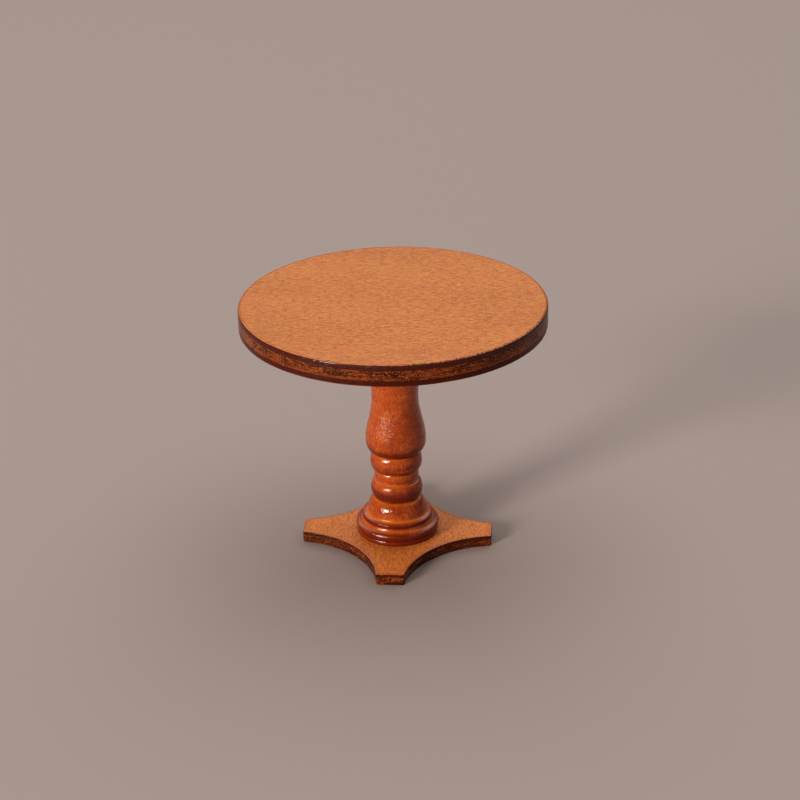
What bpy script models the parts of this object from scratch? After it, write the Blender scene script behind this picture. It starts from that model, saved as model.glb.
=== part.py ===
"""Round dolls house dining table: a plywood top and a four-pointed plywood base on a turned column.

Lengths are in millimetres until a mesh is made, which scales them to metres. +Z is up, the table
stands on z = 0, and its column's axis is the Z axis.
"""

import math

import bmesh
import bpy
from mathutils import Matrix

METRES_PER_MM = 0.001

# Driving dimensions
HEIGHT = 52.0
TOP_DIAMETER = 60.0
TOP_THICKNESS = 4.2
TOP_FACE_PLY = 1.1
TOP_BACK_PLY = 1.1
TOP_ARRIS = 0.35
BASE_SQUARE = 31.0  # side of the square blank, whose corners the four arms point at
BASE_THICKNESS = 2.3
BASE_FACE_PLY = 0.7
BASE_BACK_PLY = 0.7
BASE_TIP_WIDTH = 5.5
BASE_HOLLOW_RADIUS = 19.0  # the four hollow sides between the arms
BASE_TIP_CORNER = 0.5
GLUE_LINE = 0.05  # the gap between pieces that are glued or screwed tight

# Hardware inside the joints
DOWEL_RADIUS = 1.5
DOWEL_IN_COLUMN = 4.5
SCREW_LENGTH = 12.0
SCREW_HEAD_RADIUS = 2.2
SCREW_HEAD_SINK = 0.25  # how far the head lies below the base's underside
SCREW_HEAD_HEIGHT = 1.25
SCREW_SHANK_RADIUS = 1.1
SCREW_POINT = 1.8
SCREW_CROSS_WIDTH = 0.55
SCREW_CROSS_SPAN = 2.6
SCREW_CROSS_DEPTH = 0.8

# The column's outline: each radius with its height above the column's own foot
FOOT_RADIUS = 7.9
LOWER_RING = (8.3, 0.55)
LOWER_CREASE = (8.05, 1.1)
FOOT_BEAD = (8.4, 1.75)
UPPER_CREASE = (8.05, 2.4)
COVE_TOP = (7.0, 3.45)
STEP_RING = (7.1, 3.85)
STEP_CREASE = (6.65, 4.2)
BELL_FOOT = (5.95, 4.75)
BELL_TOP = (4.2, 7.7)
LOWER_BEAD = (5.2, 9.65)
LOWER_BEAD_TOP = (4.35, 11.5)
FILLET_TOP = (4.3, 12.3)
COLLAR_TOP = (4.25, 13.9)
UPPER_BEAD = (5.2, 15.7)
VASE_FOOT = (4.4, 17.85)
VASE_BELLY = (6.05, 20.25)
WAIST = (4.65, 29.6)
CAP_FOOT = (5.5, 43.9)
CAP_RADIUS = 5.75

DISC_SIDES = 96
COLUMN_SIDES = 32
SMALL_SIDES = 24
HOLLOW_STEPS = 22
BEAD_STEPS = 4
SLOPE_STEPS = 7

# Colours are linear
STAINED_VENEER = (0.52, 0.19, 0.07)
BURNT_PLY = (0.13, 0.035, 0.018)
BURNT_CORE = (0.24, 0.065, 0.025)
LACQUERED_WOOD = (0.36, 0.065, 0.016)
BARE_BEECH = (0.58, 0.40, 0.22)
ZINC_STEEL = (0.62, 0.60, 0.52)


def clear_scene():
    for old in list(bpy.data.objects):
        bpy.data.objects.remove(old, do_unlink=True)


def material(name, colour, roughness, metallic=0.0):
    made = bpy.data.materials.new(name)
    made.use_nodes = True
    shader = made.node_tree.nodes["Principled BSDF"]
    shader.inputs["Base Color"].default_value = (*colour, 1.0)
    shader.inputs["Roughness"].default_value = roughness
    shader.inputs["Metallic"].default_value = metallic
    return made


def group(name, height):
    """An empty at this height above the floor, for the pieces of one sub-assembly."""
    empty = bpy.data.objects.new(name, None)
    empty.location.z = height * METRES_PER_MM
    bpy.context.scene.collection.objects.link(empty)
    return empty


def add_object(name, shape, look=None, parent=None, height=0.0, smooth=False):
    """Turns a bmesh in millimetres into an object that stands at this height in its parent."""
    bmesh.ops.scale(shape, vec=(METRES_PER_MM,) * 3, verts=shape.verts)
    bmesh.ops.recalc_face_normals(shape, faces=shape.faces)
    mesh = bpy.data.meshes.new(name)
    shape.to_mesh(mesh)
    shape.free()
    if smooth:
        mesh.shade_smooth()
        mesh.set_sharp_from_angle(angle=math.radians(35.0))
    if look is not None:
        mesh.materials.append(look)
    made = bpy.data.objects.new(name, mesh)
    made.parent = parent
    made.location.z = height * METRES_PER_MM
    bpy.context.scene.collection.objects.link(made)
    return made


def as_cutter(cutter):
    cutter.hide_render = True
    cutter.display_type = "WIRE"
    return cutter


def cut(piece, cutter):
    boolean = piece.modifiers.new("cut_" + cutter.name, "BOOLEAN")
    boolean.operation = "DIFFERENCE"
    boolean.solver = "EXACT"
    boolean.object = cutter


def extruded(outline, thickness):
    shape = bmesh.new()
    face = shape.faces.new([shape.verts.new((x, y, 0.0)) for x, y in outline])
    grown = bmesh.ops.extrude_face_region(shape, geom=[face])
    raised = [item for item in grown["geom"] if isinstance(item, bmesh.types.BMVert)]
    bmesh.ops.translate(shape, vec=(0.0, 0.0, thickness), verts=raised)
    return shape


def turned(profile, sides):
    """Spins an outline of (radius, height) points, which starts and ends on the axis."""
    shape = bmesh.new()
    points = [shape.verts.new((radius, 0.0, height)) for radius, height in profile]
    line = [shape.edges.new(pair) for pair in zip(points, points[1:])]
    bmesh.ops.spin(
        shape,
        geom=points + line,
        cent=(0.0, 0.0, 0.0),
        axis=(0.0, 0.0, 1.0),
        angle=math.tau,
        steps=sides,
    )
    bmesh.ops.remove_doubles(shape, verts=shape.verts, dist=1e-4)
    return shape


def circle(radius, sides):
    angles = [math.tau * step / sides for step in range(sides)]
    return [(radius * math.cos(angle), radius * math.sin(angle)) for angle in angles]


def flat_then_upright(start, end, steps=BEAD_STEPS):
    """A quarter of an ellipse from start, which it leaves level, to end, where it stands upright."""
    turns = [math.pi / 2 * step / steps for step in range(1, steps + 1)]
    return [
        (
            start[0] + (end[0] - start[0]) * math.sin(turn),
            start[1] + (end[1] - start[1]) * (1.0 - math.cos(turn)),
        )
        for turn in turns
    ]


def upright_then_flat(start, end, steps=BEAD_STEPS):
    """A quarter of an ellipse from start, which it leaves upright, to end, where it lies level."""
    turns = [math.pi / 2 * step / steps for step in range(1, steps + 1)]
    return [
        (
            start[0] + (end[0] - start[0]) * (1.0 - math.cos(turn)),
            start[1] + (end[1] - start[1]) * math.sin(turn),
        )
        for turn in turns
    ]


def bead(start, widest, end):
    return flat_then_upright(start, widest) + upright_then_flat(widest, end)


def swept(start, end, steps, ease):
    """Points up a slope, whose radius follows ease(0..1) from start to end."""
    shares = [step / steps for step in range(1, steps + 1)]
    return [
        (start[0] + (end[0] - start[0]) * ease(share), start[1] + (end[1] - start[1]) * share)
        for share in shares
    ]


def half_wave(share):
    return (1.0 - math.cos(math.pi * share)) / 2


def slow_start(share):
    return share**1.3


def column_profile(height):
    """The turned outline from the foot up: two foot rings, cove, bell, two beads, vase, neck, cap."""
    outline = [(0.0, 0.0), (FOOT_RADIUS, 0.0)]
    outline += bead((FOOT_RADIUS, 0.0), LOWER_RING, LOWER_CREASE)
    outline += bead(LOWER_CREASE, FOOT_BEAD, UPPER_CREASE)
    outline += flat_then_upright(UPPER_CREASE, COVE_TOP)
    outline += bead(COVE_TOP, STEP_RING, STEP_CREASE)
    outline += flat_then_upright(STEP_CREASE, BELL_FOOT)
    outline += upright_then_flat(BELL_FOOT, BELL_TOP)
    outline += bead(BELL_TOP, LOWER_BEAD, LOWER_BEAD_TOP)
    outline += [FILLET_TOP, COLLAR_TOP]
    outline += bead(COLLAR_TOP, UPPER_BEAD, VASE_FOOT)
    outline += flat_then_upright(VASE_FOOT, VASE_BELLY)
    outline += swept(VASE_BELLY, WAIST, SLOPE_STEPS, half_wave)
    outline += swept(WAIST, CAP_FOOT, SLOPE_STEPS, slow_start)
    outline += [(CAP_RADIUS, CAP_FOOT[1] + 0.3), (CAP_RADIUS, height), (0.0, height)]
    return outline


def base_outline():
    """Four arms along X and Y with square-cut tips, and a hollow arc from each tip to the next."""
    half_tip = BASE_TIP_WIDTH / 2
    reach = BASE_SQUARE / math.sqrt(2.0) - half_tip
    corner_sum = reach + half_tip
    centre = corner_sum / 2 + math.sqrt(
        corner_sum**2 / 4 - (reach**2 + half_tip**2 - BASE_HOLLOW_RADIUS**2) / 2
    )
    first = math.atan2(half_tip - centre, reach - centre)
    last = math.atan2(reach - centre, half_tip - centre)
    quadrant = []
    for step in range(HOLLOW_STEPS + 1):
        angle = first + (last - first) * step / HOLLOW_STEPS
        x = centre + BASE_HOLLOW_RADIUS * math.cos(angle)
        y = centre + BASE_HOLLOW_RADIUS * math.sin(angle)
        quadrant.append((x, y))
    outline = []
    for _ in range(4):
        outline += quadrant
        quadrant = [(-y, x) for x, y in quadrant]
    return outline


def base_ply(thickness):
    """One ply of the base, with the eight corners of its tips rounded."""
    shape = extruded(base_outline(), thickness)
    reach = BASE_SQUARE / math.sqrt(2.0) - BASE_TIP_WIDTH / 2
    corners = []
    for edge in shape.edges:
        a, b = (vert.co for vert in edge.verts)
        upright = abs(a.z - b.z) > thickness / 2
        if upright and max(abs(a.x), abs(a.y)) > reach - 0.01:
            corners.append(edge)
    bmesh.ops.bevel(
        shape, geom=corners, offset=BASE_TIP_CORNER, segments=4, profile=0.5, affect="EDGES"
    )
    return shape


def top_face_ply():
    """The uppermost ply, with its upper rim rounded over."""
    shape = extruded(circle(TOP_DIAMETER / 2, DISC_SIDES), TOP_FACE_PLY)
    rim = [e for e in shape.edges if min(vert.co.z for vert in e.verts) > TOP_FACE_PLY / 2]
    bmesh.ops.bevel(shape, geom=rim, offset=TOP_ARRIS, segments=3, profile=0.5, affect="EDGES")
    return shape


def make_tabletop(dowel_hole):
    core = TOP_THICKNESS - TOP_FACE_PLY - TOP_BACK_PLY - 2 * GLUE_LINE
    tabletop = group("tabletop", HEIGHT - TOP_THICKNESS)
    burnt = material("tabletop_back", BURNT_PLY, 0.5)
    back = add_object(
        "tabletop_back_ply",
        extruded(circle(TOP_DIAMETER / 2, DISC_SIDES), TOP_BACK_PLY),
        burnt,
        tabletop,
    )
    core_ply = add_object(
        "tabletop_core_ply",
        extruded(circle(TOP_DIAMETER / 2, DISC_SIDES), core),
        material("tabletop_core", BURNT_CORE, 0.6),
        tabletop,
        TOP_BACK_PLY + GLUE_LINE,
    )
    add_object(
        "tabletop_face_ply",
        top_face_ply(),
        material("tabletop_face", STAINED_VENEER, 0.4),
        tabletop,
        TOP_THICKNESS - TOP_FACE_PLY,
    )
    cut(back, dowel_hole)
    cut(core_ply, dowel_hole)


def make_base(screw_hole):
    core = BASE_THICKNESS - BASE_FACE_PLY - BASE_BACK_PLY - 2 * GLUE_LINE
    base = group("base", 0.0)
    layers = (
        ("base_back_ply", BASE_BACK_PLY, 0.0, BURNT_PLY),
        ("base_core_ply", core, BASE_BACK_PLY + GLUE_LINE, BURNT_CORE),
        ("base_face_ply", BASE_FACE_PLY, BASE_THICKNESS - BASE_FACE_PLY, STAINED_VENEER),
    )
    for name, thickness, height, colour in layers:
        ply = add_object(
            name, base_ply(thickness), material(name, colour, 0.5), base, height
        )
        cut(ply, screw_hole)


def make_column(dowel_hole, screw_hole):
    foot = BASE_THICKNESS + GLUE_LINE
    length = HEIGHT - TOP_THICKNESS - GLUE_LINE - foot
    column = add_object(
        "pedestal_column",
        turned(column_profile(length), COLUMN_SIDES),
        material("pedestal_column", LACQUERED_WOOD, 0.2),
        height=foot,
        smooth=True,
    )
    cut(column, dowel_hole)
    cut(column, screw_hole)


def dowel_span():
    """The dowel's lowest and highest point: from inside the column to the back of the face ply."""
    low = HEIGHT - TOP_THICKNESS - DOWEL_IN_COLUMN
    high = HEIGHT - TOP_FACE_PLY - 2 * GLUE_LINE
    return low, high


def make_dowel():
    low, high = dowel_span()
    chamfer = 0.3
    length = high - low
    profile = [
        (0.0, 0.0),
        (DOWEL_RADIUS - chamfer, 0.0),
        (DOWEL_RADIUS, chamfer),
        (DOWEL_RADIUS, length - chamfer),
        (DOWEL_RADIUS - chamfer, length),
        (0.0, length),
    ]
    look = material("top_dowel", BARE_BEECH, 0.7)
    add_object("top_dowel", turned(profile, SMALL_SIDES), look, height=low, smooth=True)


def dowel_hole_cutter():
    low, high = dowel_span()
    radius = DOWEL_RADIUS + GLUE_LINE
    bottom = low - GLUE_LINE
    length = high + GLUE_LINE / 2 - bottom
    profile = [(0.0, 0.0), (radius, 0.0), (radius, length), (0.0, length)]
    return as_cutter(add_object("dowel_hole", turned(profile, SMALL_SIDES), height=bottom))


def screw_profile(clearance, sink):
    """The screw from its head up to its point, grown by a clearance; sink lowers the head's face."""
    neck = SCREW_HEAD_SINK + SCREW_HEAD_HEIGHT
    tip = SCREW_HEAD_SINK + SCREW_LENGTH
    return [
        (0.0, SCREW_HEAD_SINK - sink),
        (SCREW_HEAD_RADIUS + clearance, SCREW_HEAD_SINK - sink),
        (SCREW_HEAD_RADIUS + clearance, SCREW_HEAD_SINK + clearance),
        (SCREW_SHANK_RADIUS + clearance, neck + clearance),
        (SCREW_SHANK_RADIUS + clearance, tip - SCREW_POINT + clearance),
        (0.0, tip + 2 * clearance),
    ]


def screw_hole_cutter():
    past_the_base = SCREW_HEAD_SINK + 0.5
    profile = screw_profile(GLUE_LINE, past_the_base)
    return as_cutter(add_object("screw_hole", turned(profile, SMALL_SIDES)))


def make_screw():
    """A countersunk wood screw, head down, with a cross recess."""
    profile = screw_profile(0.0, 0.0)
    profile[2] = (SCREW_HEAD_RADIUS, SCREW_HEAD_SINK + 0.1)
    look = material("base_screw", ZINC_STEEL, 0.35, 1.0)
    screw = add_object("base_screw", turned(profile, SMALL_SIDES), look, smooth=True)
    for name, spans in (
        ("cross_slot_x", (SCREW_CROSS_SPAN, SCREW_CROSS_WIDTH)),
        ("cross_slot_y", (SCREW_CROSS_WIDTH, SCREW_CROSS_SPAN)),
    ):
        slot = bmesh.new()
        size = (*spans, 2 * SCREW_CROSS_DEPTH)
        bmesh.ops.create_cube(slot, size=1.0, matrix=Matrix.Diagonal((*size, 1.0)))
        cut(screw, as_cutter(add_object(name, slot, height=SCREW_HEAD_SINK)))


def main():
    clear_scene()
    dowel_hole = dowel_hole_cutter()
    screw_hole = screw_hole_cutter()
    make_tabletop(dowel_hole)
    make_column(dowel_hole, screw_hole)
    make_base(screw_hole)
    make_dowel()
    make_screw()


main()
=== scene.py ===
"""Looks for the round dolls house dining table: finely modelled pieces, wood grain and a studio.

Lengths here are in millimetres, apart from what Blender itself is given, which is in metres.
"""

import math

import bpy
import numpy as np
from mathutils import Matrix, Vector, noise


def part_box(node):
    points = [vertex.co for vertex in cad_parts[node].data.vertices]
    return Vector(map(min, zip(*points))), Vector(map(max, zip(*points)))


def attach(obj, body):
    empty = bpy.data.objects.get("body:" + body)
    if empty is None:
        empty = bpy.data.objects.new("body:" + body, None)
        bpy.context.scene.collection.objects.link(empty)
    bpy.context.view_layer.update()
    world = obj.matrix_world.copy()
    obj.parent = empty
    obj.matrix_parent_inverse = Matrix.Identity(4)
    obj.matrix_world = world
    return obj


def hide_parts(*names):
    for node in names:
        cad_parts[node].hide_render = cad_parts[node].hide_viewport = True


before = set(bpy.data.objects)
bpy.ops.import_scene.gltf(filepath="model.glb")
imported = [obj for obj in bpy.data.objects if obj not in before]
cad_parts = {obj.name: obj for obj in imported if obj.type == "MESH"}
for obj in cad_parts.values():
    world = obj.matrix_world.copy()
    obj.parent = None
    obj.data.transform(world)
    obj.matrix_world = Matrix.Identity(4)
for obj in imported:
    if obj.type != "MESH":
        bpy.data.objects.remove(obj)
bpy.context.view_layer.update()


MM = 0.001
BODY = "root"


def node_box(node):
    """Lowest and highest corner of a CAD node, in millimetres."""
    low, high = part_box(node)
    return Vector(low) / MM, Vector(high) / MM


# Heights and radii that come from the frame
TOP_LOW = node_box("tabletop_back_ply")[0].z
TOP_HIGH = node_box("tabletop_face_ply")[1].z
TOP_RADIUS = node_box("tabletop_face_ply")[1].x
BASE_HIGH = node_box("base_face_ply")[1].z
BASE_REACH = node_box("base_face_ply")[1].x
SCREW_HEAD_LOW = node_box("base_screw")[0].z
SCREW_TIP = node_box("base_screw")[1].z
SCREW_NECK = SCREW_HEAD_LOW + 1.3
DOWEL_LOW = node_box("top_dowel")[0].z
DOWEL_HIGH = node_box("top_dowel")[1].z


def seam(lower_node, upper_node):
    """The height at which two plies meet: the middle of the CAD's glue line."""
    return (node_box(lower_node)[1].z + node_box(upper_node)[0].z) / 2


TOP_LOWER_SEAM = seam("tabletop_back_ply", "tabletop_core_ply")
TOP_UPPER_SEAM = seam("tabletop_core_ply", "tabletop_face_ply")
BASE_LOWER_SEAM = seam("base_back_ply", "base_core_ply")
BASE_UPPER_SEAM = seam("base_core_ply", "base_face_ply")

# Camera: degrees, and millimetres from the middle of the table's axis
CAMERA_AZIMUTH = 5.2
CAMERA_ELEVATION = 26.05
CAMERA_DISTANCE = 394.0
CAMERA_LENS = 89.2
CAMERA_ROLL = -1.15
CAMERA_AIM_RIGHT = 1.0
CAMERA_AIM_UP = 4.5
SENSOR = 36.0

# Shape details
TOP_ARRIS = 0.40
PLY_GROOVE = 0.035
RIM_SIDES = 720
DOWEL_HOLE = 1.55
BASE_TIP_WIDTH = 5.5
BASE_HOLLOW_RADIUS = 19.0
BASE_TIP_CORNER = 0.5
BASE_ARRIS = 0.09
COLUMN_SIDES = 240
# Faces that meet at more degrees than this show a crease
CREASE_ANGLE = 40.0

# The floor lies a hair below the table, so that it isn't in one plane with the underside
FLOOR_DROP = 0.02

# The value that the woods read from each point. On a ply it runs from 0 on the flat faces to 1 on the
# cut edge; on the column it says how deep the stain lies, and carries painted light and shade: lower
# where the surface faces up or lies in a hollow, higher where it faces down under the beads and the
# vase.
ATTRIBUTE = "shade"
EDGE_SHADE = 1.0
UNDER_SHADE = 0.9
CORNER_FADE = 0.45
LOWER_RIM_SHADE = 0.45
UPPER_RIM_SHADE = 0.42
# How far inside a ply's rounded corner the two rim shades lie
RIM_STEP = 0.12
# The last shade before the flat face, and how far in from the top's edge it lies
FADED_SHADE = 0.12
LOWER_FADE_INSET = 0.55
UPPER_FADE_INSET = 0.75


# ---------------------------------------------------------------- meshes


def ring(radius, height, sides, wobble=None):
    """A circle of points at a height. wobble(x, y, z) adds to the radius."""
    points = []
    for step in range(sides):
        angle = math.tau * step / sides
        x = radius * math.cos(angle)
        y = radius * math.sin(angle)
        grown = 1.0
        if wobble is not None and radius > 0.0:
            grown += wobble(x, y, height) / radius
        points.append((x * grown, y * grown, height))
    return points


def skin(name, loops, shades, closed_ring=False):
    """A closed mesh over loops of points of equal length, in millimetres.

    The first and last loops are closed by a point in their middle, or joined to each other when
    closed_ring is set. shades gives each loop's value of the attribute that the materials read.
    """
    sides = len(loops[0])
    points = [point for loop in loops for point in loop]
    values = [shade for loop, shade in zip(loops, shades) for _ in loop]
    faces = []
    pairs = [(row, row + 1) for row in range(len(loops) - 1)]
    if closed_ring:
        pairs.append((len(loops) - 1, 0))
    for low, high in pairs:
        for step in range(sides):
            after = (step + 1) % sides
            faces.append(
                (low * sides + step, low * sides + after, high * sides + after, high * sides + step)
            )
    if not closed_ring:
        for row, turn in ((0, -1), (len(loops) - 1, 1)):
            middle = len(points)
            points.append(tuple(np.mean(loops[row], axis=0)))
            values.append(shades[row])
            for step in range(sides):
                corners = (row * sides + step, row * sides + (step + 1) % sides)
                faces.append((*corners[::turn], middle))
    mesh = bpy.data.meshes.new(name)
    mesh.from_pydata([Vector(point) * MM for point in points], [], faces)
    mesh.attributes.new(ATTRIBUTE, "FLOAT", "POINT").data.foreach_set("value", values)
    mesh.shade_smooth()
    mesh.set_sharp_from_angle(angle=math.radians(CREASE_ANGLE))
    made = bpy.data.objects.new(name, mesh)
    bpy.context.scene.collection.objects.link(made)
    return made


def finish_piece(piece, node, material):
    """Gives a piece its material, and lets it stand for its CAD node."""
    piece.data.materials.append(material)
    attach(piece, BODY)
    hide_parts(node)


def ragged(size, pitch, seed):
    """A small irregular change of radius, up to about size, with bumps about pitch apart."""

    def wobble(x, y, z):
        place = Vector((x, y, z * 2.0)) / pitch
        return size * noise.noise(place + Vector((seed, seed, seed)))

    return wobble


def lower_corner(arris, turns):
    """Rows round a ply's lower corner: each one's inset, its rise above the underside, and its shade."""
    rows = []
    for turn in turns:
        tilt = math.radians(turn)
        shade = UNDER_SHADE + (EDGE_SHADE - UNDER_SHADE) * math.sin(tilt)
        rows.append((arris * (1.0 - math.sin(tilt)), arris * (1.0 - math.cos(tilt)), shade))
    return rows


def upper_corner(arris, turns):
    """Rows round a ply's upper corner: each one's inset, its rise above the edge, and its shade."""
    rows = []
    for turn in turns:
        tilt = math.radians(turn)
        shade = EDGE_SHADE - CORNER_FADE * math.sin(tilt)
        rows.append((arris * (1.0 - math.cos(tilt)), arris * math.sin(tilt), shade))
    return rows


def disc_ply(name, low, high, upper_arris, lower_arris, seed):
    """One ply of the round top, from its lower face out over its edge to its upper face."""
    rough = ragged(size=0.035, pitch=0.55, seed=seed)
    slow = ragged(size=0.05, pitch=7.0, seed=3.7)
    # Moves the ragged edge in, to stay inside the CAD's radius
    set_in = 0.045

    def edge(x, y, z):
        return rough(x, y, z) + slow(x, y, 0.0) - set_in

    loops = []
    shades = []

    def add(radius, height, shade, wobble=edge):
        loops.append(ring(radius, height, RIM_SIDES, wobble))
        shades.append(shade)

    inner = 0.0 if DOWEL_HIGH < low else DOWEL_HOLE
    flat = [TOP_RADIUS * share for share in (0.25, 0.5, 0.75, 0.9, 0.96)]
    for radius in ([inner] if inner else []) + flat:
        add(radius, low, 0.0, None)
    add(TOP_RADIUS - LOWER_FADE_INSET, low, FADED_SHADE, None)
    add(TOP_RADIUS - (lower_arris + RIM_STEP), low, LOWER_RIM_SHADE, None)
    for inset, rise, shade in lower_corner(lower_arris, (0.0, 22.5, 45.0, 67.5, 90.0)):
        add(TOP_RADIUS - inset, low + rise, shade)
    side_low = low + lower_arris
    side_high = high - upper_arris
    for share in (0.25, 0.5, 0.75):
        add(TOP_RADIUS, side_low + (side_high - side_low) * share, EDGE_SHADE)
    for inset, rise, shade in upper_corner(upper_arris, (0.0, 18.0, 36.0, 54.0, 72.0, 90.0)):
        add(TOP_RADIUS - inset, side_high + rise, shade)
    add(TOP_RADIUS - (upper_arris + RIM_STEP), high, UPPER_RIM_SHADE, None)
    add(TOP_RADIUS - UPPER_FADE_INSET, high, FADED_SHADE, None)
    for radius in flat[::-1] + ([inner] if inner else []):
        add(radius, high, 0.0, None)
    return skin(name, loops, shades, closed_ring=bool(inner))


def base_outline(hollow_steps=70, corner_steps=6, tip_steps=8):
    """Four arms along X and Y with square-cut tips, and a hollow arc from each tip to the next."""
    half_tip = BASE_TIP_WIDTH / 2
    corner_sum = BASE_REACH + half_tip
    centre = corner_sum / 2 + math.sqrt(
        corner_sum**2 / 4 - (BASE_REACH**2 + half_tip**2 - BASE_HOLLOW_RADIUS**2) / 2
    )
    round_x = BASE_REACH - BASE_TIP_CORNER
    # The rounded corner touches the tip's end and the hollow arc
    rise = math.sqrt((BASE_HOLLOW_RADIUS + BASE_TIP_CORNER) ** 2 - (centre - round_x) ** 2)
    round_y = centre - rise
    meet = math.atan2(round_y - centre, round_x - centre)
    quadrant = []
    for step in range(tip_steps):
        quadrant.append((BASE_REACH, round_y * step / tip_steps))
    end = meet + math.pi
    for step in range(corner_steps + 1):
        angle = end * step / corner_steps
        quadrant.append(
            (round_x + BASE_TIP_CORNER * math.cos(angle), round_y + BASE_TIP_CORNER * math.sin(angle))
        )
    last = -1.5 * math.pi - meet
    for step in range(1, hollow_steps):
        angle = meet + (last - meet) * step / hollow_steps
        quadrant.append(
            (
                centre + BASE_HOLLOW_RADIUS * math.cos(angle),
                centre + BASE_HOLLOW_RADIUS * math.sin(angle),
            )
        )
    mirrored = [(y, x) for x, y in quadrant[: tip_steps + corner_steps + 1]][::-1]
    quadrant += mirrored[:-1]
    outline = []
    for _ in range(4):
        outline += quadrant
        quadrant = [(-y, x) for x, y in quadrant]
    return np.array(outline)


def inset_outline(outline, amount):
    """The outline moved inwards along its own normals."""
    ahead = np.roll(outline, -1, axis=0)
    behind = np.roll(outline, 1, axis=0)
    along = ahead - behind
    along /= np.linalg.norm(along, axis=1)[:, None]
    outward = np.stack([along[:, 1], -along[:, 0]], axis=1)
    return outline - outward * amount


def base_ply(name, low, high, upper_arris, lower_arris, low_hole, high_hole, seed):
    """One ply of the base, with a round hole for the screw, wider below where it is countersunk."""
    outline = base_outline()
    rough_size = 0.03
    rough = ragged(rough_size, pitch=0.5, seed=seed)
    flat_inset = 0.5
    angles = np.arctan2(outline[:, 1], outline[:, 0])
    circle = np.stack([np.cos(angles), np.sin(angles)], axis=1)
    loops = []
    shades = []

    def add(flat, height, shade, wobble=False):
        points = []
        for x, y in flat:
            grown = 1.0
            if wobble:
                grown += (rough(x, y, height) - rough_size) / math.hypot(x, y)
            points.append((x * grown, y * grown, height))
        loops.append(points)
        shades.append(shade)

    def spread(hole, height, shares):
        rim = inset_outline(outline, flat_inset)
        for share in shares:
            add(circle * hole * (1 - share) + rim * share, height, 0.0)

    inner = (0.0, 0.12, 0.3, 0.5, 0.75, 0.92)
    spread(low_hole, low, inner)
    corner_turns = (0.0, 30.0, 60.0, 90.0)
    add(inset_outline(outline, lower_arris + RIM_STEP), low, LOWER_RIM_SHADE)
    for inset, rise, shade in lower_corner(lower_arris, corner_turns):
        add(inset_outline(outline, inset), low + rise, shade, wobble=True)
    side_low = low + lower_arris
    side_high = high - upper_arris
    add(outline, (side_low + side_high) / 2, EDGE_SHADE, wobble=True)
    for inset, rise, shade in upper_corner(upper_arris, corner_turns):
        add(inset_outline(outline, inset), side_high + rise, shade, wobble=True)
    add(inset_outline(outline, upper_arris + RIM_STEP), high, UPPER_RIM_SHADE)
    spread(high_hole, high, inner[::-1])
    return skin(name, loops, shades, closed_ring=True)


# The column's outline: each radius with its height above the column's own foot
FOOT_RADIUS = 7.9
LOWER_RING = (8.3, 0.55)
LOWER_CREASE = (8.05, 1.1)
FOOT_BEAD = (8.4, 1.75)
UPPER_CREASE = (8.05, 2.4)
COVE_TOP = (7.0, 3.45)
STEP_RING = (7.1, 3.85)
STEP_CREASE = (6.65, 4.2)
BELL_FOOT = (5.95, 4.75)
BELL_TOP = (4.2, 7.7)
LOWER_BEAD = (5.2, 9.65)
LOWER_BEAD_TOP = (4.35, 11.5)
FILLET_TOP = (4.3, 12.2)
COLLAR_RING = (4.48, 12.85)
COLLAR_TOP = (4.25, 13.9)
UPPER_BEAD = (5.2, 15.7)
VASE_FOOT = (4.4, 17.85)
VASE_BELLY = (6.05, 20.25)
WAIST = (4.65, 29.6)
CAP_FOOT = (5.5, 43.9)
CAP_RADIUS = 5.75


def quarter(start, end, level_first, steps=12):
    """A quarter of an ellipse, which leaves start level and meets end upright, or the reverse."""
    points = []
    for step in range(1, steps + 1):
        turn = math.pi / 2 * step / steps
        slow = 1.0 - math.cos(turn)
        fast = math.sin(turn)
        across, up = (fast, slow) if level_first else (slow, fast)
        points.append(
            (start[0] + (end[0] - start[0]) * across, start[1] + (end[1] - start[1]) * up)
        )
    return points


def bead(start, widest, end):
    return quarter(start, widest, True) + quarter(widest, end, False)


def swept(start, end, ease, steps=44):
    """Points up a slope, whose radius follows ease(0..1) from start to end."""
    points = []
    for step in range(1, steps + 1):
        share = step / steps
        points.append(
            (start[0] + (end[0] - start[0]) * ease(share), start[1] + (end[1] - start[1]) * share)
        )
    return points


def half_wave(share):
    return (1.0 - math.cos(math.pi * share)) / 2


def slow_start(share):
    return share**1.3


def column_profile(height):
    """The turned outline from the foot up: two foot rings, cove, bell, two beads, vase, neck, cap."""
    outline = [(share * FOOT_RADIUS, 0.0) for share in (0.3, 0.7, 0.97, 1.0)]
    outline += bead((FOOT_RADIUS, 0.0), LOWER_RING, LOWER_CREASE)
    outline += bead(LOWER_CREASE, FOOT_BEAD, UPPER_CREASE)
    outline += quarter(UPPER_CREASE, COVE_TOP, True)
    outline += bead(COVE_TOP, STEP_RING, STEP_CREASE)
    outline += quarter(STEP_CREASE, BELL_FOOT, True)
    outline += quarter(BELL_FOOT, BELL_TOP, False, 20)
    outline += bead(BELL_TOP, LOWER_BEAD, LOWER_BEAD_TOP)
    outline += [FILLET_TOP]
    outline += bead(FILLET_TOP, COLLAR_RING, COLLAR_TOP)
    outline += bead(COLLAR_TOP, UPPER_BEAD, VASE_FOOT)
    outline += quarter(VASE_FOOT, VASE_BELLY, True, 20)
    outline += swept(VASE_BELLY, WAIST, half_wave)
    outline += swept(WAIST, CAP_FOOT, slow_start)
    cap = CAP_FOOT[1] + 0.3
    outline += quarter(CAP_FOOT, (CAP_RADIUS, cap), True, 4)
    outline += [(CAP_RADIUS, height - 0.1), (CAP_RADIUS - 0.1, height), (CAP_RADIUS / 2, height)]
    return outline


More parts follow.
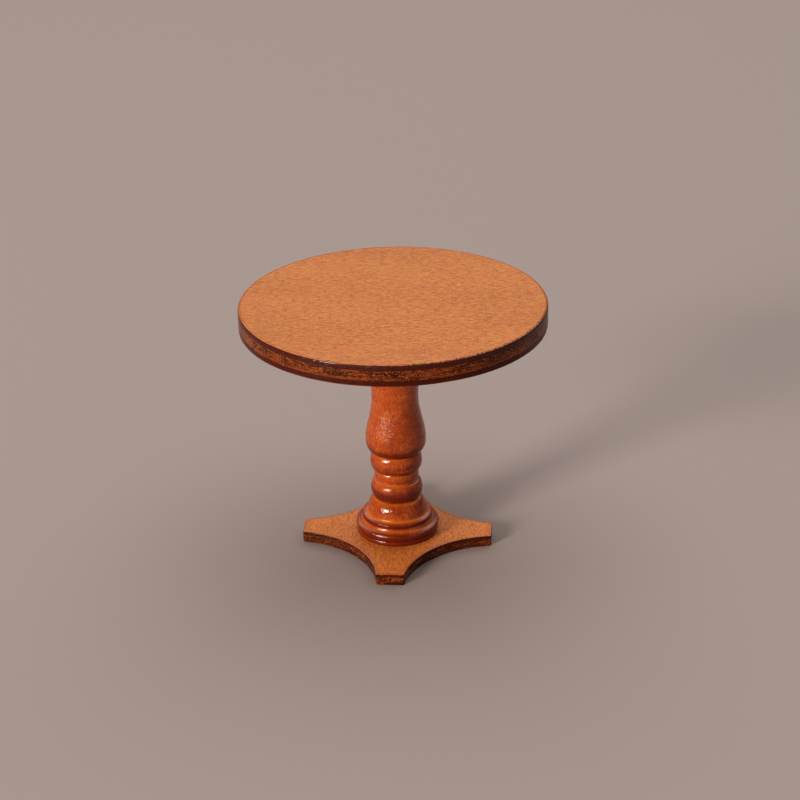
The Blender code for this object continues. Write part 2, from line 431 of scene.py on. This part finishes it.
def stain_and_painted_shade(outline):
    """How deep the stain lies on each row, with painted light and shade: near 0 in hollows that face up,
    near 1 under the members.
    """
    radii = np.array([radius for radius, _ in outline])
    heights = np.array([height for _, height in outline])
    out = np.gradient(radii)
    up = np.gradient(heights)
    along = np.cumsum(np.hypot(out, up))
    facing_up = -out / np.hypot(out, up)
    tilt_reach = 0.30
    hollow_reach = 1.1
    full_hollow = 0.35
    shades = []
    for row, (radius, height) in enumerate(outline):
        near = np.exp(-(((along - along[row]) / tilt_reach) ** 2))
        tilt = (near * facing_up).sum() / near.sum()
        wide = np.exp(-(((heights - height) / hollow_reach) ** 2)) * np.hypot(out, up)
        hollow = ((wide * radii).sum() / wide.sum() - radius) / full_hollow
        # Facing up and lying in a hollow lower the value, which paints light; facing down raises it,
        # which paints shade.
        shades.append(0.5 - 0.40 * float(tilt) - 0.38 * float(np.clip(hollow, -0.6, 1.0)))
    return shades


def make_column(material):
    outline = column_profile(TOP_LOW - BASE_HIGH)
    tool_marks = ragged(size=0.012, pitch=0.9, seed=11.0)
    slow = ragged(size=0.03, pitch=9.0, seed=5.0)

    def hand_turned(x, y, z):
        return tool_marks(x * 0.15, y * 0.15, z) + slow(x, y, z)

    loops = [ring(radius, BASE_HIGH + height, COLUMN_SIDES, hand_turned) for radius, height in outline]
    # Each row's shade is partly stain and partly painted light and shade.
    piece = skin("turned_column", loops, stain_and_painted_shade(outline))
    finish_piece(piece, "pedestal_column", material)


def make_dowel(material):
    """A fluted beech pin."""
    flutes = 18
    half_depth = 0.045
    plain_end = 0.4

    def flute(x, y, z):
        ends = min(z - DOWEL_LOW, DOWEL_HIGH - z)
        if ends < plain_end:
            return 0.0
        return -half_depth * (1.0 - math.cos(flutes * math.atan2(y, x)))

    profile = [(1.15, 0.0), (1.4, 0.12), (1.5, 0.35), (1.5, 0.6)]
    upper = [(radius, DOWEL_HIGH - height) for radius, height in profile[::-1]]
    outline = [(radius, DOWEL_LOW + height) for radius, height in profile] + upper
    loops = [ring(radius, height, flutes * 8, flute) for radius, height in outline]
    piece = skin("fluted_dowel", loops, [0.0] * len(loops))
    finish_piece(piece, "top_dowel", material)


def make_screw(material):
    """A countersunk wood screw with a rolled thread, seen from below with a cross recess."""
    head_radius = 2.2
    shank = 1.1
    core = 0.78
    pitch = 0.95
    crest_width = 0.28
    taper_length = 2.2
    tip_gap = 0.05
    thread_from = SCREW_HEAD_LOW + 3.4
    sides = 48
    loops = []
    for radius, height in ((1.9, 0.0), (2.12, 0.03), (head_radius, 0.1), (2.16, 0.2), (1.5, 0.85)):
        loops.append(ring(radius, SCREW_HEAD_LOW + height, sides))
    loops.append(ring(shank, SCREW_NECK, sides))
    loops.append(ring(shank, thread_from - 0.3, sides))
    steps = 150
    length = SCREW_TIP - thread_from
    for step in range(steps):
        height = thread_from + (length - tip_gap) * step / steps
        taper = min(1.0, (SCREW_TIP - height) / taper_length)
        points = []
        for side in range(sides):
            angle = math.tau * side / sides
            turn = (height / pitch - side / sides) % 1.0
            crest = max(0.0, 1.0 - abs(turn - 0.5) / crest_width)
            radius = taper * (core + (shank - core) * crest)
            points.append((radius * math.cos(angle), radius * math.sin(angle), height))
        loops.append(points)
    piece = skin("countersunk_screw", loops, [0.0] * len(loops))
    slot_length = 2.5
    slot_width = 0.5
    slot_height = 1.6
    for along_x, along_y in ((slot_length, slot_width), (slot_width, slot_length)):
        bpy.ops.mesh.primitive_cube_add(size=1.0, location=(0, 0, SCREW_HEAD_LOW * MM))
        cutter = bpy.context.object
        cutter.scale = (along_x * MM, along_y * MM, slot_height * MM)
        slot = piece.modifiers.new("cross_recess", "BOOLEAN")
        slot.object = cutter
        slot.operation = "DIFFERENCE"
        with bpy.context.temp_override(object=piece, active_object=piece):
            bpy.ops.object.modifier_apply(modifier=slot.name)
        bpy.data.objects.remove(cutter)
    finish_piece(piece, "base_screw", material)


# ---------------------------------------------------------------- materials


class Shader:
    """A material's nodes, with short calls for the ones that the woods share."""

    def __init__(self, name, specular=0.5):
        self.material = bpy.data.materials.new(name)
        self.material.use_nodes = True
        self.nodes = self.material.node_tree.nodes
        self.links = self.material.node_tree.links
        self.surface = self.nodes["Principled BSDF"]
        self.surface.inputs["Specular IOR Level"].default_value = specular

    def feed(self, socket, value):
        if isinstance(value, bpy.types.NodeSocket):
            self.links.new(value, socket)
        elif isinstance(value, (tuple, list)) and len(socket.default_value) == 4:
            socket.default_value = (*value, 1.0)
        else:
            socket.default_value = value

    def give(self, name, value):
        self.feed(self.surface.inputs[name], value)

    def vector(self, operation, first, second):
        node = self.nodes.new("ShaderNodeVectorMath")
        node.operation = operation
        self.feed(node.inputs[0], first)
        self.feed(node.inputs[1], second)
        return node.outputs["Value" if operation == "DOT_PRODUCT" else "Vector"]

    def millimetres(self):
        """The object's own coordinates in millimetres."""
        place = self.nodes.new("ShaderNodeTexCoord").outputs["Object"]
        return self.vector("MULTIPLY", place, (1 / MM, 1 / MM, 1 / MM))

    def turned(self, vector, degrees):
        """The vector turned about Z, so that its X runs along a grain that lies degrees off X."""
        node = self.nodes.new("ShaderNodeVectorRotate")
        node.rotation_type = "Z_AXIS"
        self.feed(node.inputs["Vector"], vector)
        node.inputs["Angle"].default_value = math.radians(-degrees)
        return node.outputs["Vector"]

    def noise(self, vector, scale, detail=2.0, roughness=0.5):
        """Noise from 0 to 1, with about scale bumps to the millimetre along each axis."""
        node = self.nodes.new("ShaderNodeTexNoise")
        self.feed(node.inputs["Vector"], self.vector("MULTIPLY", vector, scale))
        node.inputs["Scale"].default_value = 1.0
        node.inputs["Detail"].default_value = detail
        node.inputs["Roughness"].default_value = roughness
        return node.outputs["Fac"]

    def maths(self, operation, first, second=0.0):
        node = self.nodes.new("ShaderNodeMath")
        node.operation = operation
        self.feed(node.inputs[0], first)
        self.feed(node.inputs[1], second)
        return node.outputs["Value"]

    def blend(self, *weighted):
        """The sum of several values, each given with its weight."""
        total = None
        for value, weight in weighted:
            part = self.maths("MULTIPLY", value, weight)
            total = part if total is None else self.maths("ADD", total, part)
        return total

    def span(self, value, low, high, to_low=0.0, to_high=1.0):
        """Eases value from low..high to to_low..to_high."""
        node = self.nodes.new("ShaderNodeMapRange")
        node.interpolation_type = "SMOOTHSTEP"
        self.feed(node.inputs["Value"], value)
        for name, number in (
            ("From Min", low),
            ("From Max", high),
            ("To Min", to_low),
            ("To Max", to_high),
        ):
            node.inputs[name].default_value = number
        return node.outputs["Result"]

    def mix(self, share, first, second):
        node = self.nodes.new("ShaderNodeMix")
        node.data_type = "RGBA"
        self.feed(node.inputs["Factor"], share)
        self.feed(node.inputs[6], first)
        self.feed(node.inputs[7], second)
        return node.outputs[2]

    def shade(self):
        node = self.nodes.new("ShaderNodeAttribute")
        node.attribute_name = ATTRIBUTE
        return node.outputs["Fac"]

    def height(self, vector):
        node = self.nodes.new("ShaderNodeSeparateXYZ")
        self.feed(node.inputs["Vector"], vector)
        return node.outputs["Z"]

    def off_height(self, vector, height):
        """How far a point lies above or below a height."""
        return self.maths("ABSOLUTE", self.maths("SUBTRACT", self.height(vector), height))

    def bump(self, height, depth):
        """Raises the surface by height (0..1) times depth millimetres."""
        node = self.nodes.new("ShaderNodeBump")
        node.inputs["Distance"].default_value = depth * MM
        self.feed(node.inputs["Height"], height)
        self.give("Normal", node.outputs["Normal"])


def veneer(shader, grain, golden, rosy, deep, pore):
    """Stained close-grained veneer with its fibres along X. Returns its colour and its pores."""
    cloud = shader.noise(grain, (0.05, 0.09, 0.09), detail=3.0)
    fibre = shader.noise(grain, (0.80, 2.6, 2.6), detail=4.0, roughness=0.66)
    speck = shader.noise(grain, (2.4, 3.6, 3.6), detail=3.0, roughness=0.7)
    line = shader.noise(grain, (0.55, 4.6, 4.6), detail=3.0, roughness=0.6)
    hue = shader.noise(grain, (0.5, 1.1, 1.1), detail=5.0, roughness=0.75)
    pores = shader.span(line, 0.54, 0.70)
    tone = shader.blend((cloud, 0.10), (fibre, 0.50), (speck, 0.40))
    colour = shader.mix(shader.span(hue, 0.42, 0.60), golden, rosy)
    colour = shader.mix(shader.span(tone, 0.41, 0.56, 1.0, 0.0), colour, deep)
    colour = shader.mix(shader.maths("MULTIPLY", pores, 0.60), colour, pore)
    return colour, pores


def burnt_edge(shader, mm, char, ember, gold, lightness):
    """Dark, burnt-looking cut edge of a ply, in fine streaks along it and flecked with gold, the flecks
    partly painted sparkle.
    """
    streak = shader.noise(mm, (0.45, 0.45, 6.5), detail=4.0, roughness=0.65)
    grit = shader.noise(mm, (2.6, 2.6, 3.4), detail=3.0, roughness=0.8)
    patch = shader.noise(mm, (0.16, 0.16, 0.5), detail=3.0)
    warm = shader.blend((streak, 0.36), (grit, 0.36), (patch, 0.28))
    colour = shader.mix(shader.span(warm, 0.50 - lightness, 0.64 - lightness), char, ember)
    # Gold flecks: partly the wood's own speckle, partly painted sparkle.
    fleck = shader.blend((grit, 0.66), (streak, 0.34))
    return shader.mix(shader.span(fleck, 0.54 - lightness, 0.70 - lightness), colour, gold), grit


def edge_mask(shader, mm):
    """1 on the dark edge, 0 on the flat faces, with small dark bites into the face on one side."""
    notch = shader.noise(mm, (2.6, 2.6, 2.6), detail=2.0, roughness=0.6)
    across = shader.vector("DOT_PRODUCT", mm, direction(BITE_AZIMUTH, 0.0))
    bitten = shader.span(across, 0.62 * TOP_RADIUS, 0.92 * TOP_RADIUS, 0.0, 1.7)
    bite = shader.maths("MULTIPLY", shader.span(notch, 0.44, 0.64, 0.0, 0.2), bitten)
    return shader.span(shader.maths("ADD", shader.shade(), bite), 0.62, 0.74)


def line_at(shader, mm, height, width):
    """1 at one height of the edge, fading out over width either way, and broken along its length."""
    waver = shader.noise(mm, (0.3, 0.3, 0.3), detail=4.0)
    fade = shader.span(shader.off_height(mm, height), 0.1 * width, width, 1.0, 0.0)
    return shader.maths("MULTIPLY", fade, shader.span(waver, 0.38, 0.62, 0.1, 0.9))


def ply_material(name, turn, face_colours, edge_colours, lightness, specular, lines=()):
    """A ply: satin stained veneer, with a burnt-looking edge. lines are (height, width, colour)."""
    shader = Shader(name, specular)
    mm = shader.millimetres()
    face, pores = veneer(shader, shader.turned(mm, turn), *face_colours)
    edge, grit = burnt_edge(shader, mm, *edge_colours, lightness)
    for height, width, colour in lines:
        edge = shader.mix(line_at(shader, mm, height, width), edge, colour)
    toast = shader.span(shader.shade(), 0.10, 0.45, 0.0, 0.35)
    face = shader.mix(toast, face, TOASTED)
    mask = edge_mask(shader, mm)
    shader.give("Base Color", shader.mix(mask, face, edge))
    arris = shader.span(shader.shade(), 0.20, 0.50, 0.40, 0.05)
    wall = shader.span(shader.shade(), 0.93, 1.0, 0.0, 0.15)
    shader.give("Roughness", shader.blend((pores, 0.10), (arris, 1.0), (wall, 1.0), (grit, 0.06)))
    rough = shader.span(shader.shade(), 0.93, 1.0)
    relief = shader.blend((pores, -0.35), (shader.maths("MULTIPLY", grit, rough), 1.4))
    shader.bump(relief, 0.06)
    return shader.material


def column_material():
    """Glossy lacquer over turned wood: golden in the hollows, dark red under the beads and the vase,
    partly stain and partly painted light and shade.
    """
    shader = Shader("lacquered_turning", specular=0.55)
    mm = shader.millimetres()
    cloud = shader.noise(mm, (0.32, 0.32, 0.18), detail=3.0)
    mottle = shader.noise(mm, (1.3, 1.3, 1.0), detail=4.0, roughness=0.62)
    turned = shader.noise(mm, (0.16, 0.16, 2.2), detail=3.0, roughness=0.6)
    fibre = shader.noise(mm, (3.0, 3.0, 1.4), detail=3.0, roughness=0.65)
    # The shade attribute brings painted light and shade into the tone: lighter where the surface faces
    # up or lies in a hollow, darker where it faces down under the beads and the vase.
    tone = shader.blend(
        (shader.shade(), 1.0),
        (cloud, 0.9),
        (mottle, 0.55),
        (turned, 0.9),
        (fibre, 0.40),
        (1.0, -1.20),
    )
    for height, half_width, amount in DARKER_AND_PALER_RINGS:
        off = shader.off_height(mm, BASE_HIGH + height)
        tone = shader.maths("ADD", tone, shader.span(off, 0.0, half_width, amount, 0.0))
    colour = shader.mix(shader.span(tone, 0.0, 0.5), COLUMN_GOLD, COLUMN_ORANGE)
    glint = shader.span(shader.noise(mm, (3.2, 3.2, 1.7), detail=2.0), 0.50, 0.64, 0.0, 0.60)
    colour = shader.mix(glint, colour, COLUMN_GOLD)
    colour = shader.mix(shader.span(tone, 0.45, 1.25), colour, COLUMN_DARK)
    foot = shader.span(shader.height(mm), BASE_HIGH + 0.3, BASE_HIGH + 4.5, 0.55, 0.0)
    colour = shader.mix(foot, colour, COLUMN_DARK)
    shader.give("Base Color", colour)
    shader.give("Roughness", shader.span(mottle, 0.35, 0.65, 0.05, 0.11))
    peel = shader.span(shader.height(mm), BASE_HIGH + 18.0, BASE_HIGH + 23.0, 0.35, 1.0)
    relief = shader.blend((mottle, 1.0), (fibre, 0.35))
    shader.bump(shader.maths("MULTIPLY", relief, peel), 0.22)
    return shader.material


def beech_material():
    shader = Shader("bare_beech")
    shader.give("Roughness", 0.7)
    mm = shader.millimetres()
    fibre = shader.noise(mm, (6.0, 6.0, 0.4), detail=4.0)
    fleck = shader.span(shader.noise(mm, (3.0, 9.0, 1.2)), 0.6, 0.7, 0.0, 0.5)
    colour = shader.mix(fibre, (0.50, 0.33, 0.17), (0.68, 0.49, 0.29))
    shader.give("Base Color", shader.mix(fleck, colour, (0.36, 0.20, 0.10)))
    shader.bump(fibre, 0.02)
    return shader.material


def screw_material():
    shader = Shader("yellow_zinc")
    shader.give("Metallic", 1.0)
    mm = shader.millimetres()
    tarnish = shader.noise(mm, (0.9, 0.9, 0.9), detail=4.0)
    shader.give("Base Color", shader.mix(tarnish, (0.62, 0.52, 0.27), (0.74, 0.70, 0.55)))
    scuff = shader.noise(mm, (3.0, 3.0, 3.0), detail=4.0)
    shader.give("Roughness", shader.span(scuff, 0.3, 0.7, 0.22, 0.45))
    shader.bump(scuff, 0.02)
    return shader.material


# ---------------------------------------------------------------- the table


# Degrees: how far the top's grain lies off X, and the side on which its rim has dark bites
TOP_GRAIN = 5.0
BITE_AZIMUTH = 40.0
# Face colours are golden, rosy, deep and pore; edge colours are char, ember and gold, the gold flecks
# partly painted sparkle
TOP_FACE = ((0.62, 0.255, 0.056), (0.63, 0.222, 0.084), (0.43, 0.125, 0.027), (0.30, 0.062, 0.014))
INNER_FACE = ((0.62, 0.24, 0.08), (0.60, 0.21, 0.08), (0.45, 0.15, 0.05), (0.28, 0.08, 0.03))
BASE_FACE = ((0.78, 0.305, 0.063), (0.77, 0.262, 0.084), (0.55, 0.150, 0.030), (0.34, 0.066, 0.014))
TOASTED = (0.30, 0.045, 0.008)
DARK_EDGE = ((0.076, 0.0115, 0.0042), (0.14, 0.026, 0.007), (0.26, 0.062, 0.015))
GOLDEN_EDGE = ((0.062, 0.009, 0.004), (0.28, 0.058, 0.011), (0.52, 0.165, 0.030))
COLUMN_GOLD = (0.62, 0.180, 0.024)
COLUMN_ORANGE = (0.47, 0.076, 0.010)
COLUMN_DARK = (0.17, 0.017, 0.004)
# Bands all round the column made darker, or paler where the amount is below 0: (height above the base,
# half width, how much darker)
DARKER_AND_PALER_RINGS = (
    (9.3, 1.8, 0.55),
    (3.7, 0.7, 0.62),
    (1.6, 1.8, 0.35),
    (18.8, 1.6, 0.18),
    (31.0, 6.0, -0.24),
)


def make_tabletop():
    core_line = (TOP_LOWER_SEAM + 0.24, 0.26, (0.34, 0.070, 0.012))
    foot_line = (TOP_LOW + 0.12, 0.16, (0.28, 0.050, 0.010))
    face = ply_material("top_veneer", TOP_GRAIN, TOP_FACE, DARK_EDGE, -0.02, 0.30)
    core = ply_material("top_core", TOP_GRAIN + 90, INNER_FACE, GOLDEN_EDGE, 0.045, 0.20, [core_line])
    back = ply_material("top_back_veneer", TOP_GRAIN, INNER_FACE, DARK_EDGE, -0.03, 0.20, [foot_line])
    plies = (
        ("tabletop_face", TOP_UPPER_SEAM, TOP_HIGH, TOP_ARRIS, PLY_GROOVE, face),
        ("tabletop_core", TOP_LOWER_SEAM, TOP_UPPER_SEAM, PLY_GROOVE, PLY_GROOVE, core),
        ("tabletop_back", TOP_LOW, TOP_LOWER_SEAM, PLY_GROOVE, 0.15, back),
    )
    for seed, (slot, low, high, upper, lower, material) in enumerate(plies):
        piece = disc_ply(slot + "_veneer", low, high, upper, lower, 1.0 + seed)
        finish_piece(piece, slot + "_ply", material)


def make_base():
    face = ply_material("base_veneer", 90, BASE_FACE, GOLDEN_EDGE, 0.0, 0.25)
    core = ply_material("base_core", 0, INNER_FACE, GOLDEN_EDGE, 0.03, 0.20)
    back = ply_material("base_back_veneer", 90, INNER_FACE, GOLDEN_EDGE, 0.02, 0.20)
    countersink = 2.25
    shank_hole = 1.15
    slope = (countersink - shank_hole) / (SCREW_NECK - SCREW_HEAD_LOW)
    seam_hole = countersink - slope * (BASE_LOWER_SEAM - SCREW_HEAD_LOW)
    plies = (
        ("base_face", BASE_UPPER_SEAM, BASE_HIGH, BASE_ARRIS, 0.03, shank_hole, shank_hole, face),
        ("base_core", BASE_LOWER_SEAM, BASE_UPPER_SEAM, 0.03, 0.03, seam_hole, shank_hole, core),
        ("base_back", 0.0, BASE_LOWER_SEAM, 0.03, BASE_ARRIS, countersink, seam_hole, back),
    )
    for seed, (slot, low, high, upper, lower, low_hole, high_hole, material) in enumerate(plies):
        piece = base_ply(slot + "_veneer", low, high, upper, lower, low_hole, high_hole, 4.0 + seed)
        finish_piece(piece, slot + "_ply", material)


# ---------------------------------------------------------------- studio


def make_floor():
    """A pale, matt paper floor."""
    bpy.ops.mesh.primitive_plane_add(size=6.0, location=(0.0, 0.0, -FLOOR_DROP * MM))
    floor = bpy.context.object
    floor.name = "studio_floor"
    shader = Shader("floor_paper", specular=0.2)
    shader.give("Roughness", 0.8)
    shader.give("Base Color", (0.36, 0.298, 0.275))
    floor.data.materials.append(shader.material)


def softbox(name, azimuth, elevation, distance, size, power, colour):
    """An area light that looks at the table. Angles are in degrees, distance and size in metres."""
    light = bpy.data.lights.new(name, "AREA")
    light.shape = "RECTANGLE"
    light.size, light.size_y = size
    light.energy = power
    light.color = colour
    made = bpy.data.objects.new(name, light)
    made.location = direction(azimuth, elevation) * distance
    made.rotation_euler = made.location.to_track_quat("Z", "Y").to_euler()
    bpy.context.scene.collection.objects.link(made)


def direction(azimuth, elevation):
    """A unit vector: azimuth 0 is -Y and 90 is +X, in degrees."""
    turn = math.radians(azimuth)
    rise = math.radians(elevation)
    return Vector(
        (math.sin(turn) * math.cos(rise), -math.cos(turn) * math.cos(rise), math.sin(rise))
    )


def make_lights():
    world = bpy.data.worlds.new("studio_air")
    world.use_nodes = True
    sky = world.node_tree.nodes["Background"]
    sky.inputs["Color"].default_value = (0.80, 0.77, 0.75, 1.0)
    sky.inputs["Strength"].default_value = 0.18
    bpy.context.scene.world = world
    softbox(
        "key_softbox",
        azimuth=CAMERA_AZIMUTH - 47.0,
        elevation=18.0,
        distance=2.0,
        size=(0.46, 0.56),
        power=31.0,
        colour=(1.0, 0.96, 0.91),
    )
    softbox(
        "overhead",
        azimuth=CAMERA_AZIMUTH + 170.0,
        elevation=70.0,
        distance=1.4,
        size=(2.4, 2.4),
        power=23.5,
        colour=(1.0, 0.98, 0.96),
    )


def make_camera():
    camera = bpy.data.cameras.new("photo_camera")
    camera.lens = CAMERA_LENS
    camera.sensor_width = SENSOR
    camera.clip_start = 0.01
    made = bpy.data.objects.new("photo_camera", camera)
    middle = Vector((0.0, 0.0, TOP_HIGH / 2)) * MM
    outward = direction(CAMERA_AZIMUTH, CAMERA_ELEVATION)
    right = direction(CAMERA_AZIMUTH + 90.0, 0.0)
    up = outward.cross(right)
    made.location = middle + outward * CAMERA_DISTANCE * MM
    aim = middle + (right * CAMERA_AIM_RIGHT + up * CAMERA_AIM_UP) * MM
    turned = (made.location - aim).to_track_quat("Z", "Y").to_matrix()
    roll = Matrix.Rotation(math.radians(CAMERA_ROLL), 3, "Z")
    made.rotation_euler = (turned @ roll).to_euler()
    bpy.context.scene.collection.objects.link(made)
    bpy.context.scene.camera = made


def main():
    make_camera()
    make_lights()
    make_floor()
    make_tabletop()
    make_column(column_material())
    make_base()
    make_dowel(beech_material())
    make_screw(screw_material())
    bpy.context.scene.view_settings.view_transform = "Standard"
    bpy.context.scene.view_settings.look = "Medium High Contrast"


main()
